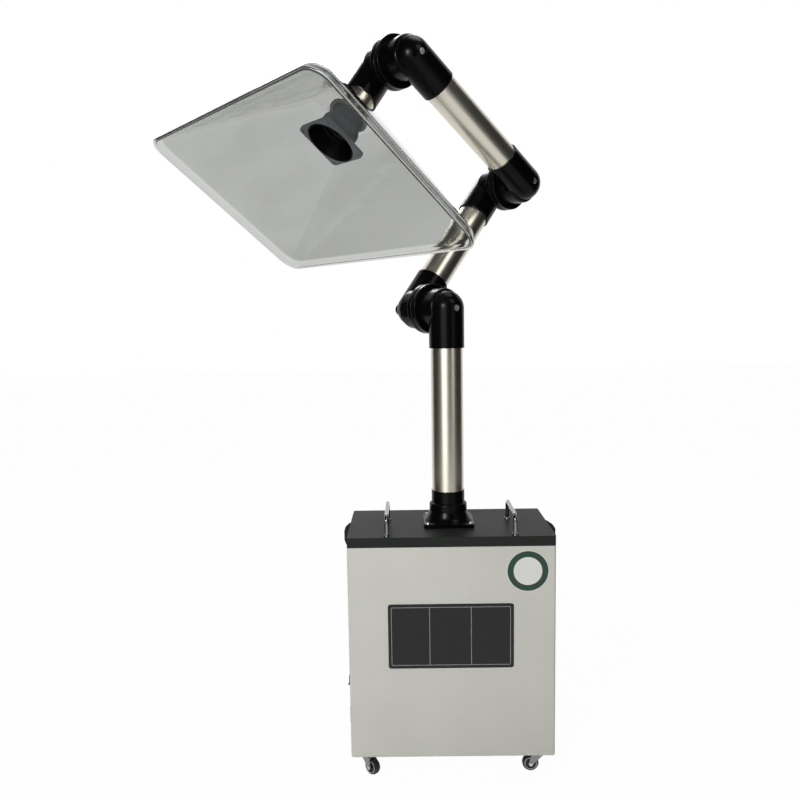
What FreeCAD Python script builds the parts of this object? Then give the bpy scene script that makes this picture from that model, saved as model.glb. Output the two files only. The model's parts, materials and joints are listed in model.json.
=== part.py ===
import FreeCAD, Part
import math
import os
import re
import Sketcher
from FreeCAD import Placement, Rotation, Vector

# A bench-side smoke purifier: a sheet-steel filter cabinet on four casters, with a jointed
# aluminium duct arm standing on its lid and a clear rectangular hood at the arm's end.
# The frame has its origin on the floor under the middle of the cabinet, +Z up, the front at -Y.

doc = FreeCAD.newDocument("smoke_purifier")
sheet = doc.addObject("Spreadsheet::Sheet", "Sizes")

SIZES = {
    # cabinet and lid, folded sheet steel
    "cabinet_width": 470, "cabinet_depth": 265, "cabinet_height": 497, "sheet_wall": 2,
    "corner_round": 5, "fold_round": 4, "lip_width": 14, "seal_gap": 1, "lid_height": 23, "caster_height": 52,
    "vent_width": 7, "vent_length": 90, "vent_pitch": 15, "vent_count": 9, "vent_height": 70,
    # bow handles and side grips on the lid
    "handle_rod": 9, "handle_span": 150, "handle_rise": 50, "handle_bend": 16, "handle_inset": 90,
    "handle_y": -45, "handle_foot": 15, "handle_foot_height": 4, "handle_foot_taper": 1,
    "grip_length": 115, "grip_height": 22, "grip_toe": 3, "grip_bulge": 10, "grip_flat": 40,
    "grip_blend": 25, "grip_drop": 1,
    # switch and power inlet in the left side
    "fitting_inset": 50.5, "switch_z": 218, "switch_tall": 33, "switch_wide": 26, "switch_bezel": 2,
    "switch_deep": 22, "rocker_rise": 5, "rocker_gap": 0.4, "bezel_edge": 3,
    "rocker_swing": 1.3, "rocker_dip": 2.5, "rocker_down": 2, "rocker_root": 1, "rocker_keel": 5,
    "rocker_well": 9, "pivot_radius": 1.5, "pivot_clear": 0.05, "pivot_depth": 3, "pivot_wall": 1,
    "pivot_end_gap": 0.3,
    "inlet_z": 139, "inlet_tall": 38, "inlet_wide": 28, "inlet_rim": 3, "inlet_deep": 26,
    "inlet_socket_tall": 26, "inlet_socket_wide": 18, "inlet_socket_deep": 18, "inlet_pin": 2,
    "inlet_pin_short": 7, "earth_pin_x": 3, "power_pin_x": -2, "power_pin_y": 7,
    # blower and filter stack inside the cabinet
    "scroll_gap": 16, "scroll_wall": 2.5, "scroll_height": 136, "outlet_width": 130,
    "outlet_height": 70, "motor_radius": 46, "motor_height": 58, "motor_round": 3,
    "shaft_radius": 6, "shaft_stub": 6, "wheel_lift": 4, "blade_root": 4,
    "impeller_gap": 16, "blade_span": 34, "impeller_height": 56, "impeller_plate": 2.5,
    "impeller_hub": 16, "blade_thick": 2, "blade_count": 10, "blade_reach": 0.86, "blade_lag": 0.45,
    "shaft_clear": 0.05,
    "deck_height": 146, "deck_plate": 2, "wiring_bay": 36, "deck_eye": 80, "filter_gap": 1.5,
    "carbon_height": 50, "pre_height": 40, "stack_clear": 69, "filter_frame": 12,
    # casters
    "caster_inset_x": 37, "caster_inset_y": 34.5, "caster_trail": 15, "wheel_radius": 19,
    "wheel_width": 16, "wheel_round": 4, "hub_recess": 3, "hub_radius": 12, "axle_radius": 3,
    "axle_clear": 0.05,
    "fork_wall": 2.5, "fork_side_gap": 1, "fork_crown": 3, "plate_side": 44, "plate_thick": 3,
    "plate_round": 3, "kingpin_end": 2, "axle_cap": 1.5, "hub_step": 2,
    "race_radius": 14, "race_height": 6, "race_gap": 0.3, "kingpin_radius": 4, "axle_head": 2,
    # duct adapter used on the lid and again inside the hood
    "flange_side": 118, "flange_round": 12, "flange_thick": 9, "mouth_radius": 54,
    "bell_foot": 57.5, "bell_waist": 50, "waist_height": 18, "bell_round": 30, "bell_wall": 3.5,
    "shoulder_radius": 44.5, "neck_height": 32, "shoulder_height": 52,
    "shoulder_round": 5, "collar_radius": 39, "adapter_height": 81, "seat_depth": 40,
    "seat_ledge": 4, "duct_radius": 34.5, "flange_hole": 3, "flange_hole_spread": 50,
    "screw_head": 5, "screw_head_rise": 3, "screw_grip": 3, "screw_clear": 0.1,
    # arm: tubes, hinge elbows, bolts and knobs
    "tube_radius": 37.5, "tube_wall": 1.5, "swivel_clear": 0.06, "elbow_clear": 0.05,
    "shoulder_z": 1082, "tube_two_span": 400, "tube_three_span": 425, "head_span": 228,
    "socket_radius": 41.25, "socket_length": 92, "socket_stop": 40, "drum_radius": 47,
    "drum_start": 3, "drum_round": 8, "drum_end": 46, "ring_radius": 59, "ring_round": 2.5, "half_offset": 60,
    "washer_thick": 1.5, "washer_inner": 44, "washer_outer": 56, "washer_gap": 0.1,
    "cavity_radius": 42, "cavity_end": 20, "cavity_end_radius": 22, "cavity_neck": 36,
    "rail_width": 15, "rail_rise": 2, "rail_end": 6, "bolt_radius": 4, "bolt_clear": 0.05,
    "bolt_head": 8, "bolt_head_thick": 4, "recess_radius": 9.5, "recess_depth": 13,
    "knob_radius": 14, "knob_length": 18, "knob_collar": 8.5, "knob_gap": 0.4,
    "knob_crown": 4, "knob_crown_in": 3, "bolt_head_edge": 1, "flute_radius": 4,
    "flute_count": 8, "bolt_tip": 3,
    "arm_yaw": 38, "angle_two": 39.8, "angle_three": -55.4, "angle_head": -142.6,
    # clear hood
    "hood_long": 738, "hood_short": 468, "hood_round": 30, "hood_skirt": 18, "hood_reach": 138,
    "hood_lip": 5, "hood_lip_thick": 4, "hood_wall": 3,
    "hood_flat_long": 168, "hood_flat_short": 142, "hood_flat_round": 22,
    "grommet_radius": 47, "grommet_lip": 2, "grommet_neck": 42,
}
for row, (alias, number) in enumerate(SIZES.items(), 1):
    sheet.set("A%d" % row, alias)
    sheet.set("B%d" % row, str(number))
    sheet.setAlias("B%d" % row, alias)
doc.recompute()

parts = []


def linked(formula):
    """A formula in the sheet's words, written so that an object's property can be bound to it."""
    return re.sub(r"[a-z]\w*", lambda m: "Sizes." + m.group() if m.group() in SIZES else m.group(), formula)


def size(formula):
    """The number that a formula in the sheet's words comes to."""
    return float(sheet.evalExpression(linked(formula)))


def new_body(label):
    body = doc.addObject("PartDesign::Body", label)
    parts.append(body)
    return body


def origin_of(body, role):
    return next(item for item in body.Origin.OriginFeatures if item.Role == role)


def new_sketch(body, plane, lift="0"):
    """An empty sketch on one of the body's own planes, raised along the plane's normal."""
    sketch = body.newObject("Sketcher::SketchObject", body.Name + "_sketch")
    sketch.AttachmentSupport = [(origin_of(body, plane + "_Plane"), "")]
    sketch.MapMode = "FlatFace"
    sketch.setExpression("AttachmentOffset.Base.z", linked(lift))
    return sketch


def pin_point(sketch, element, end, across, up):
    """Holds one point of a sketch at two formulas measured from the sketch's origin."""
    for kind, formula in (("DistanceX", across), ("DistanceY", up)):
        index = sketch.addConstraint(Sketcher.Constraint(kind, -1, 1, element, end, size(formula)))
        sketch.setExpression("Constraints[%d]" % index, linked(formula))


def polygon(sketch, corners):
    spots = [Vector(size(across), size(up), 0) for across, up in corners]
    first = sketch.GeometryCount
    for spot, after in zip(spots, spots[1:] + spots[:1]):
        sketch.addGeometry(Part.LineSegment(spot, after), False)
    for index in range(len(spots)):
        after = (index + 1) % len(spots)
        sketch.addConstraint(Sketcher.Constraint("Coincident", first + index, 2, first + after, 1))
    for index, (across, up) in enumerate(corners):
        pin_point(sketch, first + index, 1, across, up)
    return sketch


def rectangle(sketch, left, low, right, high):
    return polygon(sketch, [(left, low), (right, low), (right, high), (left, high)])


def centred(sketch, half_across, half_up):
    return rectangle(sketch, "-(%s)" % half_across, "-(%s)" % half_up, half_across, half_up)


def circle(sketch, radius, across="0", up="0"):
    spot = Vector(size(across), size(up), 0)
    index = sketch.addGeometry(Part.Circle(spot, Vector(0, 0, 1), size(radius)), False)
    bound = sketch.addConstraint(Sketcher.Constraint("Radius", index, size(radius)))
    sketch.setExpression("Constraints[%d]" % bound, linked(radius))
    pin_point(sketch, index, 3, across, up)
    return sketch


def rounded_rectangle(sketch, half_across, half_up, radius):
    """A centred rectangle with round corners: four sides, four tangent arcs."""
    a, b, r = size(half_across), size(half_up), size(radius)
    inner = [(a - r, -b, a - r, -b + r, -90), (a, b - r, a - r, b - r, 0),
             (-a + r, b, -a + r, b - r, 90), (-a, -b + r, -a + r, -b + r, 180)]
    sides = [((-a + r, -b), (a - r, -b)), ((a, -b + r), (a, b - r)),
             ((a - r, b), (-a + r, b)), ((-a, b - r), (-a, -b + r))]
    for index in range(4):
        start, stop = sides[index]
        sketch.addGeometry(Part.LineSegment(Vector(*start, 0), Vector(*stop, 0)), False)
        _, _, cx, cy, turn = inner[index]
        ring = Part.Circle(Vector(cx, cy, 0), Vector(0, 0, 1), r)
        sketch.addGeometry(Part.ArcOfCircle(ring, math.radians(turn), math.radians(turn + 90)), False)
    for index in range(4):
        side, arc, after = 2 * index, 2 * index + 1, (2 * index + 2) % 8
        sketch.addConstraint(Sketcher.Constraint("Tangent", side, 2, arc, 1))
        sketch.addConstraint(Sketcher.Constraint("Tangent", arc, 2, after, 1))
        sketch.addConstraint(Sketcher.Constraint(("Horizontal", "Vertical")[index % 2], side))
        if index:
            sketch.addConstraint(Sketcher.Constraint("Equal", 1, arc))
    bound = sketch.addConstraint(Sketcher.Constraint("Radius", 1, r))
    sketch.setExpression("Constraints[%d]" % bound, linked(radius))
    for kind, side, formula in (("DistanceY", 0, "-(%s)" % half_up), ("DistanceX", 2, half_across),
                                ("DistanceY", 4, half_up), ("DistanceX", 6, "-(%s)" % half_across)):
        bound = sketch.addConstraint(Sketcher.Constraint(kind, -1, 1, side, 1, size(formula)))
        sketch.setExpression("Constraints[%d]" % bound, linked(formula))
    return sketch


def domed_rod(sketch, radius, length):
    """Half the section of a rod that hangs down from a round end: a quarter circle on three sides."""
    r, far = size(radius), -size(length)
    ring = Part.Circle(Vector(0, 0, 0), Vector(0, 0, 1), r)
    sketch.addGeometry(Part.ArcOfCircle(ring, 0, math.pi / 2), False)
    for start, stop in (((0, r), (0, far)), ((0, far), (r, far)), ((r, far), (r, 0))):
        sketch.addGeometry(Part.LineSegment(Vector(*start, 0), Vector(*stop, 0)), False)
    sketch.addConstraint(Sketcher.Constraint("Coincident", 0, 3, -1, 1))
    for one, after in ((0, 1), (1, 2), (2, 3), (3, 0)):
        sketch.addConstraint(Sketcher.Constraint("Coincident", one, 2, after, 1))
    sketch.addConstraint(Sketcher.Constraint("PointOnObject", 0, 1, -1))
    sketch.addConstraint(Sketcher.Constraint("PointOnObject", 1, 1, -2))
    for kind, line in (("Vertical", 1), ("Horizontal", 2), ("Vertical", 3)):
        sketch.addConstraint(Sketcher.Constraint(kind, line))
    bound = sketch.addConstraint(Sketcher.Constraint("Radius", 0, r))
    sketch.setExpression("Constraints[%d]" % bound, linked(radius))
    bound = sketch.addConstraint(Sketcher.Constraint("DistanceY", -1, 1, 1, 2, far))
    sketch.setExpression("Constraints[%d]" % bound, linked("-(%s)" % length))
    return sketch


def feature(body, kind, sketch, reverse=False, **formulas):
    """A feature of a body, its sizes bound to formulas in the sheet's words."""
    item = body.newObject("PartDesign::" + kind, body.Name + "_" + kind)
    item.Profile = sketch
    if reverse:
        item.Reversed = True
    for name, formula in formulas.items():
        item.setExpression(name, linked(formula))
    return item


def pad(body, sketch, length, reverse=False):
    return feature(body, "Pad", sketch, reverse, Length=length)


def pocket(body, sketch, length, reverse=False):
    return feature(body, "Pocket", sketch, reverse, Length=length)


def revolve(body, sketch, kind="Revolution", axis="V_Axis"):
    item = feature(body, kind, sketch)
    item.ReferenceAxis = (sketch, [axis])
    item.Angle = 360
    return item


def loft(body, sections, kind="AdditiveLoft"):
    item = feature(body, kind, sections[0])
    item.Sections = sections[1:]
    item.Ruled = True
    return item


def soften(body, radius, chosen, kind="Fillet", prop="Radius"):
    """Rounds the edges of a body's last feature that a test picks out."""
    doc.recompute()
    last = body.Tip
    names = ["Edge%d" % n for n, edge in enumerate(last.Shape.Edges, 1) if chosen(edge)]
    item = body.newObject("PartDesign::" + kind, body.Name + "_" + kind)
    item.Base = (last, names)
    item.setExpression(prop, linked(radius))
    return item


def pattern(body, original, kind, count, **settings):
    """Repeats one feature of a body; the pattern is the body's last feature."""
    item = body.newObject("PartDesign::" + kind, body.Name + "_" + kind)
    item.Originals = [original]
    for name, thing in settings.items():
        setattr(item, name, thing)
    item.setExpression("Occurrences", linked(count))
    body.Tip = item
    return item


def near(number, formula, slack=0.01):
    return abs(number - size(formula)) < slack


def screw_circles(sketch):
    """The four screw holes in the corners of a duct adapter's flange."""
    for side_x in ("", "-"):
        for side_y in ("", "-"):
            circle(sketch, "flange_hole", side_x + "flange_hole_spread", side_y + "flange_hole_spread")
    return sketch


def is_ring(edge, radius):
    """True for a full circle of the radius that a formula gives."""
    return isinstance(edge.Curve, Part.Circle) and edge.isClosed() and near(edge.Curve.Radius, radius)


# Places in the assembly. The arm lies in two upright planes side by side, turned by arm_yaw:
# the mast and the third tube in the front plane, the second tube and the head in the back one.

YAW = Rotation(Vector(0, 0, 1), size("arm_yaw"))
TURN_X = Rotation(Vector(1, 0, 0), 180)
TURN_Y = Rotation(Vector(0, 1, 0), 180)
TURN_Z = Rotation(Vector(0, 0, 1), 180)
NO_TURN = Rotation()
BACK = size("2 * half_offset")


def lean(tilt):
    """The turn that leans an upright tube by a tilt within the arm's plane."""
    return Rotation(Vector(0, 1, 0), size(tilt))


def along(tilt, span):
    return lean(tilt).multVec(Vector(0, 0, size(span)))


HINGE_A = Vector(0, 0, size("shoulder_z"))
HINGE_B = HINGE_A + along("angle_two", "tube_two_span")
HINGE_C = HINGE_B + along("angle_three", "tube_three_span")


def arm_place(spot, back, turn):
    """A place in the arm's front or back plane, turned within the plane."""
    shift = Vector(0, BACK if back else 0, 0)
    return Placement(YAW.multVec(spot + shift), YAW.multiply(turn))


FITTING_Y = "(fitting_inset - cabinet_depth / 2)"
LID_TOP = "(caster_height + cabinet_height + lid_height)"


def cabinet_shell():
    """Folded box with a floor, an inward lip round its mouth, side cut-outs and rear vents."""
    body = new_body("cabinet_shell")
    half_x, half_y = "cabinet_width / 2", "cabinet_depth / 2"
    top = "caster_height + cabinet_height"
    outline = rounded_rectangle(new_sketch(body, "XY", "caster_height"), half_x, half_y, "corner_round")
    pad(body, outline, "cabinet_height")
    soften(body, "fold_round", lambda edge: near(edge.BoundBox.ZMax, "caster_height"))
    hollow = rounded_rectangle(new_sketch(body, "XY", top), half_x + " - sheet_wall",
                               half_y + " - sheet_wall", "corner_round - sheet_wall")
    pocket(body, hollow, "cabinet_height - sheet_wall")
    lip = rounded_rectangle(new_sketch(body, "XY", top), half_x + " - sheet_wall / 2",
                            half_y + " - sheet_wall / 2", "corner_round - sheet_wall / 2")
    centred(lip, half_x + " - lip_width", half_y + " - lip_width")
    pad(body, lip, "sheet_wall", reverse=True)
    holes = new_sketch(body, "YZ", "-(%s)" % half_x)
    for tall, wide, height in (("switch_tall - 2 * bezel_edge", "switch_wide - 2 * bezel_edge", "switch_z"),
                               ("inlet_tall - 2 * bezel_edge", "inlet_wide - 2 * bezel_edge", "inlet_z")):
        rectangle(holes, "%s - (%s) / 2" % (FITTING_Y, wide), "%s - (%s) / 2" % (height, tall),
                  "%s + (%s) / 2" % (FITTING_Y, wide), "%s + (%s) / 2" % (height, tall))
    pocket(body, holes, "2 * sheet_wall", reverse=True)
    vent = new_sketch(body, "XZ", "-(%s)" % half_y)
    first = "-(vent_count - 1) * vent_pitch / 2"
    low = "caster_height + vent_height"
    rectangle(vent, first + " - vent_width / 2", low, first + " + vent_width / 2", low + " + vent_length")
    cut = pocket(body, vent, "2 * sheet_wall", reverse=True)
    row = pattern(body, cut, "LinearPattern", "vent_count", Direction=(vent, ["H_Axis"]))
    row.setExpression("Length", linked("(vent_count - 1) * vent_pitch"))


def lid():
    """Shallow folded tray with a duct hole, resting on the cabinet's mouth."""
    body = new_body("lid")
    half_x, half_y = "cabinet_width / 2", "cabinet_depth / 2"
    low = "caster_height + cabinet_height"
    pad(body, rounded_rectangle(new_sketch(body, "XY", low), half_x, half_y, "corner_round"), "lid_height")
    hollow = rounded_rectangle(new_sketch(body, "XY", low), half_x + " - sheet_wall",
                               half_y + " - sheet_wall", "corner_round - sheet_wall")
    pocket(body, hollow, "lid_height - sheet_wall", reverse=True)
    pocket(body, circle(new_sketch(body, "XY", low + " + lid_height"), "mouth_radius"), "2 * sheet_wall")
    pocket(body, screw_circles(new_sketch(body, "XY", low + " + lid_height")), "2 * sheet_wall")


def lid_seal():
    """Foam frame on the cabinet's lip that the lid presses on."""
    body = new_body("lid_seal")
    half_x, half_y = "cabinet_width / 2 - sheet_wall - seal_gap", "cabinet_depth / 2 - sheet_wall - seal_gap"
    on_lip = new_sketch(body, "XY", "caster_height + cabinet_height")
    frame = rounded_rectangle(on_lip, half_x, half_y, "corner_round - sheet_wall")
    centred(frame, "cabinet_width / 2 - lip_width", "cabinet_depth / 2 - lip_width")
    pad(body, frame, "lid_height - sheet_wall")


def handle(label, side):
    """Bow handle of bent round rod, standing on two turned feet."""
    base = Vector(side * size("cabinet_width / 2 - handle_inset"), size("handle_y"), size(LID_TOP))
    rod, bend, rise, span = "handle_rod / 2", "handle_bend", "handle_rise - handle_rod / 2", "handle_span"
    pieces = []
    for end in (-1, 1):
        foot_y = end * size(span + " / 2")
        leg = doc.addObject("Part::Cylinder", label + "_leg")
        leg.setExpression("Radius", linked(rod))
        leg.setExpression("Height", linked("handle_rise - handle_rod / 2 - handle_bend"))
        leg.Placement = Placement(base + Vector(0, foot_y, 0), NO_TURN)
        foot = doc.addObject("Part::Cone", label + "_foot")
        foot.setExpression("Radius1", linked("handle_foot / 2"))
        foot.setExpression("Radius2", linked("handle_foot / 2 - handle_foot_taper"))
        foot.setExpression("Height", linked("handle_foot_height"))
        foot.Placement = leg.Placement
        elbow = doc.addObject("Part::Torus", label + "_bend")
        elbow.setExpression("Radius1", linked(bend))
        elbow.setExpression("Radius2", linked(rod))
        elbow.Angle3 = 90
        centre = base + Vector(0, foot_y - end * size(bend), size(rise) - size(bend))
        quarter = Rotation(Vector(0, 1, 0), Vector(0, 0, 1), Vector(1, 0, 0), "XYZ")
        mirrored = Rotation(Vector(0, 0, 1), Vector(0, -1, 0), Vector(1, 0, 0), "XYZ")
        elbow.Placement = Placement(centre, quarter if end > 0 else mirrored)
        pieces += [leg, foot, elbow]
    grip = doc.addObject("Part::Cylinder", label + "_grip")
    grip.setExpression("Radius", linked(rod))
    grip.setExpression("Height", linked("handle_span - 2 * handle_bend"))
    grip.Placement = Placement(base + Vector(0, -size("handle_span / 2 - handle_bend"), size(rise)),
                               Rotation(Vector(1, 0, 0), -90))
    bow = doc.addObject("Part::MultiFuse", label)
    bow.Shapes = pieces + [grip]
    bow.Refine = True
    parts.append(bow)


def side_grip(label, side):
    """Bowed moulded grip fixed to one side of the lid."""
    body = new_body(label)
    half = "grip_length / 2"
    bow = polygon(new_sketch(body, "XY", "-grip_height"), [
        ("0", "-" + half), ("grip_toe", "-" + half), ("grip_bulge", "-grip_flat / 2"),
        ("grip_bulge", "grip_flat / 2"), ("grip_toe", half), ("0", half)])
    pad(body, bow, "grip_height - grip_drop")
    soften(body, "grip_blend", lambda edge: near(edge.CenterOfMass.x, "grip_bulge")
           and near(edge.Length, "grip_height - grip_drop"))
    spot = Vector(side * size("cabinet_width / 2"), size("handle_y"), size(LID_TOP))
    body.Placement = Placement(spot, NO_TURN if side > 0 else TURN_Z)


def rocker_switch():
    """Panel switch: a bezelled case in the left side and a rocker that tips in it."""
    face = Vector(-size("cabinet_width / 2"), size(FITTING_Y), size("switch_z"))
    out = Placement(face, Rotation(Vector(0, 1, 0), Vector(0, 0, 1), Vector(1, 0, 0), "XYZ"))
    wide, tall = "switch_wide / 2", "switch_tall / 2"
    body = new_body("switch_case")
    pad(body, centred(new_sketch(body, "XY"), wide, tall), "switch_bezel", reverse=True)
    hole = " - (bezel_edge + rocker_gap)"
    pad(body, centred(new_sketch(body, "XY"), wide + hole, tall + hole), "switch_deep")
    opening = " - (bezel_edge + sheet_wall)"
    well = centred(new_sketch(body, "XY", "-switch_bezel"), wide + opening, tall + opening)
    pocket(body, well, "switch_bezel + rocker_well", reverse=True)
    bearing = "(%s - bezel_edge - pivot_wall)" % wide
    pivot_hole = circle(new_sketch(body, "YZ", "-" + bearing), "pivot_radius", "0", "pivot_depth")
    pocket(body, pivot_hole, "2 * " + bearing, reverse=True)
    body.Placement = out

    rocker = new_body("switch_rocker")
    inset = "(bezel_edge + sheet_wall + rocker_gap)"
    profile = new_sketch(rocker, "YZ", "-(%s - %s)" % (wide, inset))
    far, rise = "(%s - %s - rocker_swing)" % (tall, inset), "-(switch_bezel + rocker_rise)"
    polygon(profile, [("-" + far, "rocker_root"), ("-" + far, rise), ("0", rise + " + rocker_dip"),
                      (far, rise + " + rocker_down"), (far, "rocker_root"), ("0", "rocker_keel")])
    pad(rocker, profile, "2 * (%s - %s)" % (wide, inset))
    pivot = "(%s - pivot_end_gap)" % bearing
    pin = circle(new_sketch(rocker, "YZ", "-" + pivot), "pivot_radius - pivot_clear", "0", "pivot_depth")
    pad(rocker, pin, "2 * " + pivot)
    rocker.Placement = out


def power_inlet():
    """Mains inlet with a recessed socket and three flat pins."""
    body = new_body("power_inlet")
    wide, tall = "inlet_wide / 2", "inlet_tall / 2"
    pad(body, rounded_rectangle(new_sketch(body, "XY"), wide, tall, "bezel_edge"), "inlet_rim", reverse=True)
    inner = " - (bezel_edge + rocker_gap)"
    pad(body, centred(new_sketch(body, "XY"), wide + inner, tall + inner), "inlet_deep")
    socket = centred(new_sketch(body, "XY", "-inlet_rim"), "inlet_socket_wide / 2", "inlet_socket_tall / 2")
    pocket(body, socket, "inlet_rim + inlet_socket_deep", reverse=True)
    pins = new_sketch(body, "XY", "inlet_socket_deep")
    for across, up in (("earth_pin_x", "0"), ("power_pin_x", "power_pin_y"), ("power_pin_x", "-power_pin_y")):
        rectangle(pins, across + " - inlet_pin", up + " - inlet_pin / 2",
                  across + " + inlet_pin", up + " + inlet_pin / 2")
    pad(body, pins, "inlet_socket_deep - inlet_pin_short", reverse=True)
    body.Placement = Placement(Vector(-size("cabinet_width / 2"), size(FITTING_Y), size("inlet_z")),
                               Rotation(Vector(0, 1, 0), Vector(0, 0, 1), Vector(1, 0, 0), "XYZ"))


def blower():
    """Radial blower on the cabinet's floor: scroll case, motor and wheel, blowing to the rear vents."""
    floor = "caster_height + sheet_wall"
    case = new_body("blower_case")
    outside = "(cabinet_depth / 2 - sheet_wall - scroll_gap)"
    inside = "(%s - scroll_wall)" % outside
    pad(case, circle(new_sketch(case, "XY", floor), outside), "scroll_height")
    rear = "(cabinet_depth / 2 - sheet_wall)"
    chute = rectangle(new_sketch(case, "XY", floor), "-outlet_width / 2", "0", "outlet_width / 2", rear)
    pad(case, chute, "outlet_height + 2 * scroll_wall")
    well = circle(new_sketch(case, "XY", floor + " + scroll_height"), inside)
    pocket(case, well, "scroll_height - scroll_wall")
    base = floor + " + scroll_wall"
    duct = rectangle(new_sketch(case, "XZ", "-" + rear), "-(outlet_width / 2 - scroll_wall)", base,
                     "outlet_width / 2 - scroll_wall", base + " + outlet_height")
    pocket(case, duct, rear, reverse=True)

    motor = new_body("blower_motor")
    pad(motor, circle(new_sketch(motor, "XY", base), "motor_radius"), "motor_height")
    soften(motor, "motor_round", lambda edge: is_ring(edge, "motor_radius")
           and near(edge.CenterOfMass.z, base + " + motor_height"))
    shaft = circle(new_sketch(motor, "XY", base), "shaft_radius")
    pad(motor, shaft, "motor_height + impeller_height + shaft_stub")

    wheel = new_body("blower_wheel")
    start = base + " + motor_height + wheel_lift"
    sweep = "(%s - impeller_gap)" % inside
    eye = "(%s - blade_span)" % sweep
    pad(wheel, circle(new_sketch(wheel, "XY", start), sweep), "impeller_plate")
    ring = circle(circle(new_sketch(wheel, "XY", start + " + impeller_height - impeller_plate"), sweep), eye)
    pad(wheel, ring, "impeller_plate")
    pad(wheel, circle(new_sketch(wheel, "XY", start), "impeller_hub"), "impeller_height / 2")
    blade = new_sketch(wheel, "XY", start)
    lag = "%s * blade_lag" % sweep
    reach = "%s * blade_reach" % sweep
    polygon(blade, [(eye + " - blade_root", "0"), (eye + " - blade_root", "-blade_thick"),
                    (reach, "-%s - blade_thick" % lag), (reach, "-" + lag)])
    first = pad(wheel, blade, "impeller_height - impeller_plate / 2")
    pattern(wheel, first, "PolarPattern", "blade_count", Axis=(blade, ["N_Axis"]), Angle=360)
    bore = circle(new_sketch(wheel, "XY", start), "shaft_radius + shaft_clear")
    pocket(wheel, bore, "impeller_height", reverse=True)


def filter_stack():
    """Deck over the blower, then three framed filters, one on the other."""
    floor = "caster_height + sheet_wall"
    half_x = "cabinet_width / 2 - sheet_wall - filter_gap"
    half_y = "cabinet_depth / 2 - sheet_wall - filter_gap"
    left = "-(%s - wiring_bay)" % half_x
    deck = new_body("filter_deck")
    pad(deck, rectangle(new_sketch(deck, "XY", floor), left, "-(%s)" % half_y, half_x, half_y), "deck_height")
    under = rectangle(new_sketch(deck, "XY", floor), left + " + deck_plate", "-(%s + deck_plate)" % half_y,
                      half_x + " - deck_plate", half_y + " + deck_plate")
    pocket(deck, under, "deck_height - deck_plate", reverse=True)
    pocket(deck, circle(new_sketch(deck, "XY", floor + " + deck_height"), "deck_eye"), "2 * deck_plate")
    low = floor + " + deck_height"
    main = "(cabinet_height - sheet_wall - deck_height - carbon_height - pre_height - stack_clear)"
    filters = (("carbon_filter", "carbon_height"), ("main_filter", main), ("pre_filter", "pre_height"))
    for label, height in filters:
        body = new_body(label)
        pad(body, rectangle(new_sketch(body, "XY", low), left, "-(%s)" % half_y, half_x, half_y), height)
        for lift, far in ((low, True), ("%s + %s" % (low, height), False)):
            recess = rectangle(new_sketch(body, "XY", lift), left + " + filter_frame",
                               "-(%s - filter_frame)" % half_y, half_x + " - filter_frame",
                               half_y + " - filter_frame")
            pocket(body, recess, height + " / 5", reverse=far)
        low = "%s + %s" % (low, height)


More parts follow.
